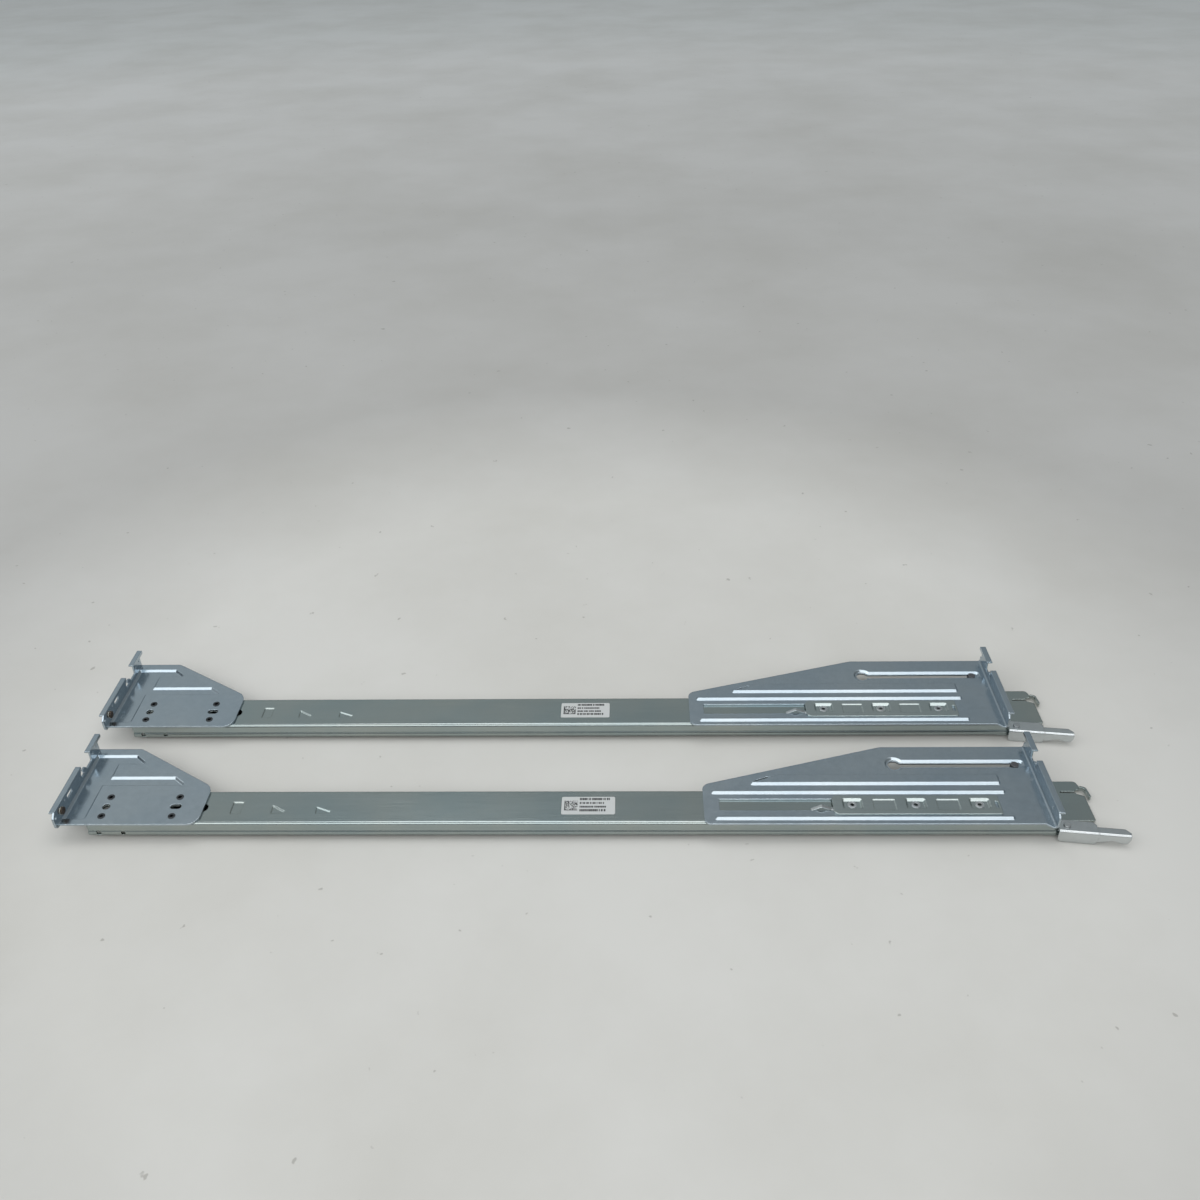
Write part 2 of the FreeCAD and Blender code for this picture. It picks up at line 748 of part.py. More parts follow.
def make_front_bracket(rail):
    piece = Piece(rail, "front_bracket")
    face = front_face
    inside = face + d.plate_sheet
    right = d.front_plate_right
    near = -d.bracket_overhang
    floor = plate_top - d.recess_depth
    piece.grow("XY", "web_top", "plate_sheet", rounded([
        (face + 0.4, near, 0), (right, near, 9), (right, d.front_plate_shoulder, 12),
        (d.front_plate_neck, d.bracket_depth, 6), (face + 0.4, d.bracket_depth, 0)]))
    for pan in front_recesses(d.recess_depth - d.plate_sheet + 1):
        piece.grow("XY", floor - d.plate_sheet, "recess_depth + plate_sheet", pan)
    middle = floor - d.plate_sheet / 2
    bend_x = face + d.plate_sheet / 2
    piece.grow("XZ", d.recess_far + 0.7, d.recess_far + 0.7 - d.bracket_overhang, bent([
        (face + 8, middle, 0), (bend_x, middle, d.flange_bend), (bend_x, floor + 5, 0)],
        d.plate_sheet))
    piece.grow("YZ", face, "plate_sheet",
               flange_outline(d.front_lip_end, d.front_tab_start, d.front_tab_end))
    piece.grow("YZ", face, "plate_sheet", hook_outline(d.front_hook_y))
    for start, end in ((-0.5, d.front_lip_end), (d.front_tab_start, d.front_tab_end)):
        piece.grow("XZ", end, end - start, lip_outline(inside, face - d.lip_reach, d.plate_sheet))
    for pan in front_recesses(0.0):
        piece.cut("XY", plate_top, "recess_depth", pan, taper=-d.press_angle)
    holes = [circle(x, y, d.rivet_radius) for x, y in front_rivet_places]
    piece.cut("XY", plate_top + 1, "plate_sheet + 1", *holes, *front_plate_holes())
    slot_y = d.flange_slot_y
    piece.cut("YZ", inside + 1, "plate_sheet + 2",
              circle(15, 25.2, 0.9), circle(-1.6, 23.0, 1.1), circle(67.5, 23.6, 1.0),
              circle(74.5, 24.4, 0.8), circle(d.screw_y, d.screw_height, d.screw_hole),
              box(slot_y, d.flange_slot_height - d.flange_slot_width / 2,
                  slot_y + d.flange_slot_length,
                  d.flange_slot_height + d.flange_slot_width / 2, 1.2))


def make_captive_screw(rail):
    """Screw held in the front flange by its washer; it fastens the flange to a rack post."""
    washer = Piece(rail, "front_screw_spring")
    face = front_face + d.plate_sheet
    washer.grow("YZ", face, "washer_sheet", circle(d.screw_y, d.screw_height, d.washer_radius))
    washer.cut("YZ", face + d.washer_sheet, "washer_sheet",
               circle(d.screw_y, d.screw_height, d.screw_hole))
    screw = Piece(rail, "front_captive_screw")
    tip = front_face - d.screw_reach
    seat = face + d.washer_sheet + 0.1
    head_end = seat + d.screw_head_rise
    screw.grow("YZ", tip, seat - tip, circle(d.screw_y, d.screw_height, d.screw_radius))
    screw.grow("YZ", seat, "screw_head_rise", circle(d.screw_y, d.screw_height, d.screw_head))
    screw.cut("YZ", head_end, d.screw_head_rise / 2, centred_box(
        d.screw_y, d.screw_height, 2 * d.screw_head - 1, d.screw_groove))


# ---------------------------------------------------------------- rear bracket
def rib_outline(length, y):
    """Narrow pressed rib that comes to a blunt point at its inner end."""
    stop = rear_face - d.rib_right
    start = stop - length
    far = y + d.rib_width
    bend = pressed_bend(d.rib_rise)
    return rounded([(start, y, bend), (stop, y, bend), (stop, far, bend), (start + 4, far, bend)])


def wide_rib(inset):
    """Wide rib whose inner end runs beside the slanting edge of the plate."""
    stop = rear_face - d.rib_right - 1 - inset
    start = stop - d.wide_rib_length + 2.5 * inset
    near = d.wide_rib_y + inset
    far = d.wide_rib_y + d.wide_rib_width - inset
    slope = d.wide_rib_slope * (far - near) / d.wide_rib_width
    bend = pressed_bend(d.rib_rise)
    return rounded([(start, near, bend), (stop, near, bend), (stop, far, bend),
                    (start + slope, far, bend)])


def slot_pans(spread):
    """Pressed surround of the bracket's slot: a round end and a long narrow band."""
    right = rear_face - d.slot_right + 4.5 + spread / 2
    left = rear_face - d.slot_right - d.slot_length
    eye = d.slot_eye + spread
    band = d.slot_band + spread
    return [circle(left, d.slot_y, eye), box(left, d.slot_y - band, right, d.slot_y + band, 3)]


def make_rear_bracket(rail):
    """Plate that slides on the channel to set the rail's length, with the rear rack flange."""
    piece = Piece(rail, "rear_bracket")
    face = rear_face
    left = face - d.rear_plate_length
    inside = face - d.rear_sheet
    under = plate_top - d.rear_sheet
    near = -d.bracket_overhang
    depth = d.bracket_depth
    piece.grow("XY", under, "rear_sheet", rounded([
        (left, near, 5), (face - 5, near, 0), (face - 5, depth, 0),
        (face - d.rear_plate_neck, depth, 14), (left, d.rear_plate_shoulder, 7)]))
    bend_x = face - d.rear_sheet / 2
    piece.grow("XZ", depth, "bracket_depth + foot_overhang", bent([
        (face - 8, under + d.rear_sheet / 2, 0), (bend_x, under + d.rear_sheet / 2, 2.2),
        (bend_x, under + 6, 0)], d.rear_sheet))
    foot = -d.foot_overhang
    piece.cut("XY", plate_top + 0.5, 4, rounded([
        (face - 11, foot - 1.5, 0), (face - 2, foot - 1.5, 0), (face - 4, foot, 0),
        (face - 8.4, near, 0), (face - 11, near, 0)]))
    piece.grow("YZ", inside, "rear_sheet",
               flange_outline(d.rear_lip_end, d.rear_tab_start, d.rear_tab_end))
    piece.grow("YZ", inside, "rear_sheet", hook_outline(d.rear_hook_y))
    for start, end in ((-1.5, d.rear_lip_end), (d.rear_tab_start, d.rear_tab_end)):
        piece.grow("XZ", end, end - start, lip_outline(inside, face + d.rear_lip_reach, d.rear_sheet))
    ribs = [rib_outline(d.near_rib_length, d.near_rib_y),
            rib_outline(d.middle_rib_length, d.middle_rib_y), wide_rib(0.0)]
    for rib in ribs:
        piece.grow("XY", plate_top, "rib_rise", rib, taper=-d.press_angle)
    stop = face - d.rib_right - 2 * d.rib_wall
    hollows = [wide_rib(2.4)]
    for length, y in ((d.near_rib_length, d.near_rib_y), (d.middle_rib_length, d.middle_rib_y)):
        start = face - d.rib_right - length + 3 * d.rib_wall
        hollows.append(box(start, y + d.rib_wall, stop, y + d.rib_width - d.rib_wall))
    piece.cut("XY", under + d.rib_rise, "rib_rise", *hollows)
    window_right = face - d.window_right
    window_near = centre_y - d.window_width / 2
    piece.cut("XY", plate_top, "rear_sheet * 2", box(
        window_right - d.window_length, window_near, window_right,
        window_near + d.window_width, d.window_corner))
    for pan in slot_pans(1.0):
        piece.grow("XY", under - d.slot_press, "rear_sheet + slot_press", pan)
    for pan in slot_pans(0.0):
        piece.cut("XY", plate_top, "slot_press", pan, taper=-d.press_angle)
    slot_right = face - d.slot_right
    slot_left = slot_right - d.slot_length
    piece.cut("XY", plate_top, "rear_sheet * 4", circle(slot_left, d.slot_y, d.slot_eye_radius))
    piece.cut("XY", plate_top, "rear_sheet * 4",
              slot(slot_left, slot_right - d.slot_width / 2, d.slot_y, d.slot_width))
    piece.cut("YZ", face + 1, 4, circle(9, 22.7, 1.3), circle(66, 24.2, 1.2))


def make_slot_stud(rail):
    """Headed stud held in the bracket's slot."""
    piece = Piece(rail, "slot_stud")
    x = rear_face - d.slot_right - d.slot_width / 2
    floor = plate_top - d.slot_press
    under = floor - d.rear_sheet
    neck = d.rear_sheet + 2 * d.stud_gap
    piece.grow("XY", under - d.stud_gap - d.stud_head_rise, "stud_head_rise",
               circle(x, d.slot_y, d.stud_head))
    piece.grow("XY", under - d.stud_gap, neck, circle(x, d.slot_y, d.stud_neck))
    piece.grow("XY", floor + d.stud_gap, "stud_cap_rise", circle(x, d.slot_y, d.stud_cap))


def make_clamp_bar(rail):
    """Bar that holds the rear bracket down; its three seats reach the channel."""
    piece = Piece(rail, "clamp_bar")
    near = d.bar_y - d.bar_width / 2
    far = d.bar_y + d.bar_width / 2
    top = plate_top + d.bar_gap + d.bar_sheet
    piece.grow("XY", plate_top + d.bar_gap, "bar_sheet", rounded([
        (bar_left, near, 4), (bar_right, near, 1.5), (bar_right, far, 1.5), (bar_left, far, 4)]))
    seats = [centred_box(x, centre_y, d.seat_length, d.seat_width, 2) for x in seat_places]
    piece.grow("XY", "web_top", top - d.web_top, *seats)
    length = d.seat_length - 2 * d.seat_wall
    width = d.seat_width - 2 * d.seat_wall
    for x in seat_places:
        piece.cut("XY", top, top - d.web_top - d.seat_floor,
                  centred_box(x, centre_y, length, width, 1.8), taper=-d.press_angle)
    for i in (0, 1):
        x = (seat_places[i] + seat_places[i + 1]) / 2
        piece.cut("XY", top, "pan_press", centred_box(x, d.bar_y, d.pan_length, d.seat_width, 0.8),
                  taper=-d.press_angle)
    slot_x = bar_right - d.bar_slot_right - d.bar_slot_width / 2
    piece.cut("XY", top, "bar_sheet * 2",
              centred_box(slot_x, d.bar_y, d.bar_slot_width, d.bar_slot_length, 0.4))
    piece.cut("XY", top, "bar_sheet * 4", *[circle(x, centre_y, d.rivet_radius) for x in seat_places])


def make_leaf_stop(rail):
    """Leaf that rises in the window and stops the rear bracket's extension."""
    piece = Piece(rail, "bracket_stop_leaf")
    bed = plate_top + d.bar_gap - d.leaf_sheet / 2
    tip = bar_left - d.leaf_reach
    crest = (tip + bar_left - 1.4) / 2
    leaf = [(bar_left + 6.5, bed, 0), (bar_left - 1.4, bed, d.leaf_bend),
            (crest, bed + d.leaf_rise, d.leaf_bend), (tip, bed - 0.95, 0)]
    piece.grow("XZ", "leaf_y + leaf_width", "leaf_width", bent(leaf, d.leaf_sheet))


# ---------------------------------------------------------------- rear end
def make_catch_lever(rail):
    """Sprung lever: pressed box and finger tongue outside, hooked arm inside the channel."""
    piece = Piece(rail, "catch_lever")
    piece.body.Placement.Rotation = FreeCAD.Rotation(V(0, 0, 1), d.catch_angle)
    rail.place(piece.body, "channel_length + pivot_gap", "pivot_y")
    top = d.catch_top - d.catch_sheet / 2
    side = -d.catch_side - d.catch_sheet / 2
    piece.grow("YZ", "-catch_back", "catch_back + catch_box", bent([
        (d.catch_box_far, top, 0), (side, top, d.catch_bend), (side, 0.3, 0)], d.catch_sheet))
    top -= d.catch_tongue_drop
    side += d.catch_tongue_drop
    piece.grow("YZ", d.catch_box - 0.6, d.catch_tongue - d.catch_box + 0.6, bent([
        (d.catch_tongue_far, top, 0), (side, top, d.catch_bend), (side, 2, 0)], d.catch_sheet))
    arm = -0.9
    arm_far = arm + d.arm_width
    hook = d.hook_end
    piece.grow("XY", "arm_under", "catch_sheet", rounded([
        (-hook, arm, 0.5), (-4.6, arm, 1), (-4.6, side, 0), (5, side, 0), (5, 2.8, 2.5),
        (-2.6, 3.0, 2), (-4.6, arm_far, 1), (4.2 - hook, arm_far, 0.5),
        (3.6 - hook, d.hook_tip, 0.8), (-hook, d.hook_tip - 1.2, 0.8)]))
    end = d.catch_tongue
    box_end = d.catch_box
    rise = d.catch_tongue_rise
    back = -d.catch_back
    piece.cut("XZ", -d.catch_side - 2, 3, rounded([
        (back - 2, -1, 0), (back - 2, 3.6, 0), (back, 3.6, 0), (back, 0.3, 3), (box_end, 0.3, 2.2),
        (box_end, rise, 0), (box_end + 4, rise, 3), (box_end + 10, rise + d.catch_dip, 5),
        (end - 6, rise + 0.4, 3), (end - 1.4, rise + 0.4, 1.5), (end, 7, 0), (end + 2, 7, 0),
        (end + 2, -1, 0)]))
    far = d.catch_box_far
    piece.cut("XY", "catch_top + 1", 3.5, rounded([
        (box_end + 1, far + 1, 0), (box_end - 3, far + 1, 0), (box_end - 2.4, far, 2),
        (box_end, far - 2.6, 1), (box_end + 1, far - 2.6, 0)]))
    piece.cut("XY", "catch_top + 1", 3.5, rounded([
        (end - 4.4, d.catch_tongue_far + 1, 0), (end, -2.4, 0), (end + 1, -2.4, 0),
        (end + 1, d.catch_tongue_far + 1, 0)]))
    piece.cut("XY", "catch_top + 1", 8, circle(0, 0, d.pin_radius + d.pin_clearance))


def make_catch_pin(rail):
    piece = Piece(rail, "catch_pivot_pin")
    head = d.catch_top + 0.1
    piece.grow("XY", "ear_under", head - d.ear_under, circle(pivot_x, d.pivot_y, d.pin_radius))
    piece.grow("XY", head, "pin_head_rise", circle(pivot_x, d.pivot_y, d.pin_head), taper=-15)


def make_end_plate(rail):
    """Cable-arm plate at the rear end of the chassis member, with a slot and a hook."""
    piece = Piece(rail, "inner_end_plate")
    left = d.channel_length - d.end_plate_gap
    right = left + d.end_plate_length
    near, far = d.end_plate_near, d.end_plate_far
    step = right - d.end_step
    slot_near = d.end_slot_y
    slot_far = slot_near + d.end_slot_width
    slot_end = step - d.end_slot_length
    piece.grow("XY", "inner_sheet", "end_plate_sheet", rounded([
        (left, near, 1), (right, near, 1), (right, slot_near - 3.3, 0.6), (step, slot_near - 0.9, 0.6),
        (step, slot_near, 0), (slot_end, slot_near, 0.6), (slot_end, slot_far, 0.6),
        (step, slot_far, 0), (step + 1, slot_far + 1.9, 0.6), (right - 0.6, slot_far + 1.9, 0),
        (right - 0.6, slot_far + 3.3, 0), (right - 2.4, far, 3), (left, far, 2)]))
    root = slot_far + 2.1
    tip = right + d.end_hook_reach
    sheet_in = tip - d.end_hook_sheet
    piece.grow("XY", "inner_sheet", "end_hook_rise", rounded([
        (right - 2.6, root, 0), (sheet_in - 0.9, root - 1, 2.2), (sheet_in, d.end_hook_start, 0.4),
        (tip, d.end_hook_start, 0.5), (tip - 0.9, root, 3), (right - 1.4, root + 1.4, 0)]))
    piece.cut("XY", 5, 5, *[circle(x, y, d.end_rivet_radius) for x, y in end_rivet_places])


def make_disconnect_lever(rail):
    """Flat lever on the chassis member that frees it from the middle member."""
    piece = Piece(rail, "disconnect_lever")
    y = centre_y
    half = d.disconnect_width / 2
    start = d.disconnect_x - half - 1.6
    stop = start + d.disconnect_length
    head = stop - d.disconnect_head
    bed = d.inner_sheet + d.lever_gap
    piece.grow("XY", bed, "lever_sheet", rounded([
        (start, y - half, half - 0.1), (head + 6, y - 2.2, 1.5), (head + 10, y - 6, 1),
        (stop, y - 6, 2), (stop, y + 2.8, 2), (head, y + 2.8, 2), (start, y + half, half - 0.1)]))
    piece.grow("XY", bed + d.lever_sheet, "disconnect_tab", box(
        stop - 6, y - 5.8, stop - 0.4, y - 4.6, 0.3))
    piece.cut("XY", 4, 4, circle(d.disconnect_x, y, d.disconnect_pin + d.pin_clearance))


def make_chassis_lock(rail):
    """Sprung latch beside a keyhole that keeps a chassis stud from sliding back."""
    piece = Piece(rail, "chassis_lock")
    far = centre_y + d.lock_width / 2
    knuckle = d.lock_pin + 0.8
    low = d.lock_height - knuckle + d.lock_sheet / 2 + 0.1
    high = low + d.lock_lift
    stop = lock_x + d.lock_length
    piece.grow("XZ", far, "lock_width", circle(lock_x, d.lock_height, knuckle))
    piece.grow("XZ", far, "lock_width", bent([
        (lock_x, low, 0), (lock_x + 18, low, 3), (stop - 16, high, 1.2), (stop, high, 0)],
        d.lock_sheet))
    piece.cut("XZ", centre_y - d.lock_width, 2 * d.lock_width,
              circle(lock_x, d.lock_height, d.lock_pin + d.pin_clearance))


def make_lock_pin(rail):
    piece = Piece(rail, "chassis_lock_pin")
    reach = d.lock_width / 2 + d.lug_gap + d.lug_sheet + 0.4
    piece.grow("XZ", centre_y + reach, 2 * reach, circle(lock_x, d.lock_height, d.lock_pin))


def make_bumper(rail):
    """Rubber block under the channel's web that the middle member closes against."""
    piece = Piece(rail, "rear_bumper")
    start = middle_end + d.bumper_gap
    stop = start + d.bumper_length
    near = centre_y - d.bumper_width / 2
    far = centre_y + d.bumper_width / 2
    piece.grow("XY", web_under - d.bumper_drop, "bumper_drop", rounded([
        (start, near, 1), (stop, near, 3), (stop, far, 3), (start, far, 1)]))


def build(rail):
    inner_top = d.inner_sheet + d.end_plate_sheet
    middle_top = d.middle_web_height + d.member_sheet / 2
    outer_cage_top = (web_under + middle_top) / 2
    inner_cage_top = d.middle_web_height - d.member_sheet / 2 - d.cage_gap - 0.55
    seats = [(x, centre_y) for x in seat_places]
    make_channel(rail)
    make_front_bracket(rail)
    make_rivets(rail, "front_bracket_rivets", front_rivet_places, plate_top, web_under,
                d.rivet_radius, d.rivet_head, d.rivet_bore)
    make_captive_screw(rail)
    make_rear_bracket(rail)
    make_slot_stud(rail)
    make_clamp_bar(rail)
    make_rivets(rail, "clamp_rivets", seats, d.web_top + d.seat_floor, web_under,
                d.rivet_radius, d.rivet_head + 0.6, d.rivet_bore)
    make_leaf_stop(rail)
    make_catch_lever(rail)
    make_catch_pin(rail)
    make_catch_spring(rail)
    make_bumper(rail)
    make_middle(rail)
    make_cage(rail, "outer_ball_cage", outer_ball_u - 0.19, outer_cage_top, d.outer_ball_height)
    make_balls(rail, "outer_balls", outer_ball_u, d.outer_ball_height)
    make_cage(rail, "inner_ball_cage", inner_ball_u - 0.19, inner_cage_top, inner_ball_height)
    make_balls(rail, "inner_balls", inner_ball_u, inner_ball_height)
    make_inner(rail)
    make_inner_flanges(rail)
    make_end_plate(rail)
    make_rivets(rail, "end_plate_rivets", end_rivet_places, inner_top, 0,
                d.end_rivet_radius, d.end_rivet_radius + 0.8)
    make_disconnect_lever(rail)
    make_rivets(rail, "disconnect_rivet", [(d.disconnect_x, centre_y)],
                d.inner_sheet + d.lever_sheet + 2 * d.lever_gap, 0, d.disconnect_pin,
                d.disconnect_pin + 1.3)
    make_chassis_lock(rail)
    make_lock_pin(rail)


rails = [
    Rail("near", "-pair_middle_x", "-pair_middle_y"),
    Rail("far", "rail_stagger - pair_middle_x", "rail_spacing - pair_middle_y"),
]
for rail in rails:
    build(rail)
doc.recompute()

# ---------------------------------------------------------------- checks and export
for item in doc.Objects:
    if "Invalid" in item.State or "Error" in item.State:
        raise RuntimeError("%s is in error: %s" % (item.Label, item.State))
    if item.TypeId == "PartDesign::Pocket":
        if item.Shape.Volume >= item.BaseFeature.Shape.Volume - 1e-3:
            raise RuntimeError("a pocket of %s removes nothing" % item.getParent().Label)

os.makedirs("parts", exist_ok=True)
for rail in rails:
    for piece in rail.pieces:
        if piece.Shape.isNull() or not piece.Shape.isValid():
            raise RuntimeError("%s has no valid shape" % piece.Label)
        piece.Shape.exportStep("parts/%s.step" % piece.Label)
        print(piece.Label, round(piece.Shape.Volume, 1), len(piece.Shape.Solids))
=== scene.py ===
"""Sliding server rail pair on a pale floor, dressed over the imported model. Metres."""
import math
import random

import bpy
import bmesh
from mathutils import Matrix, Vector


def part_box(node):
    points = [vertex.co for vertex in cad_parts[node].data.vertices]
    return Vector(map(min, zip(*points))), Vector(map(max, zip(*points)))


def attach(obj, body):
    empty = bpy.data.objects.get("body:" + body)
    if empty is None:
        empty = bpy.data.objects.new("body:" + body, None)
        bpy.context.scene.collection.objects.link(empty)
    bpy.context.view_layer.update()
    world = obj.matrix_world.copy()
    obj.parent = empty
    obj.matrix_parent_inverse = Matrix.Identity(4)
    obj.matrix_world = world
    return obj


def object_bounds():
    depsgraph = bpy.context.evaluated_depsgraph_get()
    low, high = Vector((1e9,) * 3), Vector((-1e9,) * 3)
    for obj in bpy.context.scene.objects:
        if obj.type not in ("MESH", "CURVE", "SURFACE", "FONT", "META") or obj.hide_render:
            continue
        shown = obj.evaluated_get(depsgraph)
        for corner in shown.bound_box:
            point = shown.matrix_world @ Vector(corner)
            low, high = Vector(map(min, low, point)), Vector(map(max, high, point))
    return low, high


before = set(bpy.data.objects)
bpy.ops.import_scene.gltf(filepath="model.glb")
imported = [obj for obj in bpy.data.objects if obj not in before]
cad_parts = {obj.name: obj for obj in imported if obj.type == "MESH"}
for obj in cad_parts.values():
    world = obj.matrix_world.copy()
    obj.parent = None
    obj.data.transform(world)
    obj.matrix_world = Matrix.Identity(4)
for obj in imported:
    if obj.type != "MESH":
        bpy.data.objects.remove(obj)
cad_low, cad_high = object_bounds()
RAILS = ("near", "far")

# ------------------------------------------------------------------ room and camera
# A pale painted floor with faint scuffs, wide enough for the rails drawn right out.
# A long soft lamp hangs over the viewer's side, one over the rails and a weak one to the left.


def set_inputs(node, values):
    """Set several inputs of a node by name."""
    for name, value in values.items():
        node.inputs[name].default_value = value


def ramp(nodes, stops):
    """Colour ramp with the given (position, colour) stops."""
    node = nodes.new("ShaderNodeValToRGB")
    while len(node.color_ramp.elements) < len(stops):
        node.color_ramp.elements.new(0.5)
    for element, (position, colour) in zip(node.color_ramp.elements, stops):
        element.position = position
        element.color = (*colour, 1.0)
    return node


def multiply(nodes, links, first, second):
    """Colour output that is the product of two others."""
    node = nodes.new("ShaderNodeMix")
    node.data_type = "RGBA"
    node.blend_type = "MULTIPLY"
    node.inputs["Factor"].default_value = 1.0
    links.new(first, node.inputs["A"])
    links.new(second, node.inputs["B"])
    return node.outputs["Result"]


floor_size = 14.0
floor_gap = 0.0002
bpy.ops.mesh.primitive_plane_add(size=floor_size, location=(0, 0, cad_low.z - floor_gap))
floor = bpy.context.object
floor.name = "floor"
paint = bpy.data.materials.new("pale_floor")
paint.use_nodes = True
nodes, links = paint.node_tree.nodes, paint.node_tree.links
shader = nodes["Principled BSDF"]
place = nodes.new("ShaderNodeTexCoord")
reach = nodes.new("ShaderNodeVectorMath")
reach.operation = "LENGTH"
links.new(place.outputs["Object"], reach.inputs[0])
spread = nodes.new("ShaderNodeMapRange")
set_inputs(spread, {"From Min": 0.4, "From Max": 4.0})
links.new(reach.outputs["Value"], spread.inputs["Value"])
# painted shade and light of the room: the floor is darker in a ring about 0.7 m out from the middle
# and lighter far off
painted_room_falloff = ramp(nodes, [
    (0.0, (0.65, 0.64, 0.61)), (0.083, (0.49, 0.485, 0.47)), (0.3, (0.55, 0.545, 0.53)),
    (0.78, (0.92, 0.91, 0.89)), (1.0, (0.95, 0.95, 0.93))])
links.new(spread.outputs["Result"], painted_room_falloff.inputs["Fac"])
cloud = nodes.new("ShaderNodeTexNoise")
set_inputs(cloud, {"Scale": 3.0, "Detail": 6.0, "Roughness": 0.6})
links.new(place.outputs["Object"], cloud.inputs["Vector"])
stain = ramp(nodes, [(0.32, (0.90, 0.895, 0.88)), (0.62, (1.0, 1.0, 1.0))])
links.new(cloud.outputs["Fac"], stain.inputs["Fac"])
speck = nodes.new("ShaderNodeTexNoise")
set_inputs(speck, {"Scale": 95.0, "Detail": 2.0, "Roughness": 0.5})
links.new(place.outputs["Object"], speck.inputs["Vector"])
scuff = ramp(nodes, [(0.235, (0.70, 0.69, 0.68)), (0.265, (1.0, 1.0, 1.0))])
links.new(speck.outputs["Fac"], scuff.inputs["Fac"])
tone = multiply(nodes, links, painted_room_falloff.outputs["Color"], stain.outputs["Color"])
links.new(multiply(nodes, links, tone, scuff.outputs["Color"]), shader.inputs["Base Color"])
set_inputs(shader, {"Roughness": 0.62, "Specular IOR Level": 0.35})
floor.data.materials.append(paint)

camera_place = Vector((0.037127, -0.652378, 0.609136))
camera_down, camera_turn, camera_roll = 0.613159, -0.034092, 0.026047
camera = bpy.data.objects.new("camera", bpy.data.cameras.new("camera"))
camera.data.lens = 33.0
camera.data.sensor_width = 36.0
camera.matrix_world = (
    Matrix.Translation(camera_place)
    @ Matrix.Rotation(-camera_turn, 4, "Z")
    @ Matrix.Rotation(math.pi / 2 - camera_down, 4, "X")
    @ Matrix.Rotation(-camera_roll, 4, "Z"))
bpy.context.scene.collection.objects.link(camera)
bpy.context.scene.camera = camera
bpy.context.scene.view_settings.view_transform = "Standard"


def soft_lamp(name, place, target, width, depth, power):
    """Rectangular soft lamp at a place, facing a target."""
    lamp = bpy.data.objects.new(name, bpy.data.lights.new(name, "AREA"))
    lamp.data.shape = "RECTANGLE"
    lamp.data.size = width
    lamp.data.size_y = depth
    lamp.data.energy = power
    lamp.location = place
    lamp.rotation_euler = (Vector(target) - Vector(place)).to_track_quat("-Z", "Y").to_euler()
    bpy.context.scene.collection.objects.link(lamp)


soft_lamp("key_lamp", (-0.8, -2.0, 2.2), (-0.2, 0, 0), 5.4, 2.0, 50.0)
soft_lamp("ceiling_lamp", (0.3, 0.5, 2.7), (0, 0, 0), 3.2, 1.6, 30.0)
soft_lamp("left_lamp", (-2.4, -0.2, 1.8), (0, 0, 0), 1.4, 1.4, 8.0)
world = bpy.data.worlds.new("room")
bpy.context.scene.world = world
world.use_nodes = True
nodes, links = world.node_tree.nodes, world.node_tree.links
sky = nodes["Background"]
place = nodes.new("ShaderNodeTexCoord")
height = nodes.new("ShaderNodeSeparateXYZ")
links.new(place.outputs["Generated"], height.inputs["Vector"])
walls = ramp(nodes, [
    (0.0, (0.22, 0.23, 0.23)), (0.30, (0.30, 0.315, 0.32)), (0.58, (0.38, 0.41, 0.415)),
    (0.80, (0.30, 0.33, 0.35)), (1.0, (0.26, 0.28, 0.30))])
links.new(height.outputs["Z"], walls.inputs["Fac"])
across = nodes.new("ShaderNodeMapRange")
set_inputs(across, {"From Min": -0.6, "From Max": 0.6, "To Min": 1.34, "To Max": 0.78})
links.new(height.outputs["X"], across.inputs["Value"])
links.new(multiply(nodes, links, walls.outputs["Color"], across.outputs["Result"]),
          sky.inputs["Color"])
sky.inputs["Strength"].default_value = 1.0


# ------------------------------------------------------------------ channels, members and cages
# Roll-formed steel strip, zinc plated. Rolling leaves fine lines along the length, and the
# plating clouds from blue-grey to a faint straw tint.


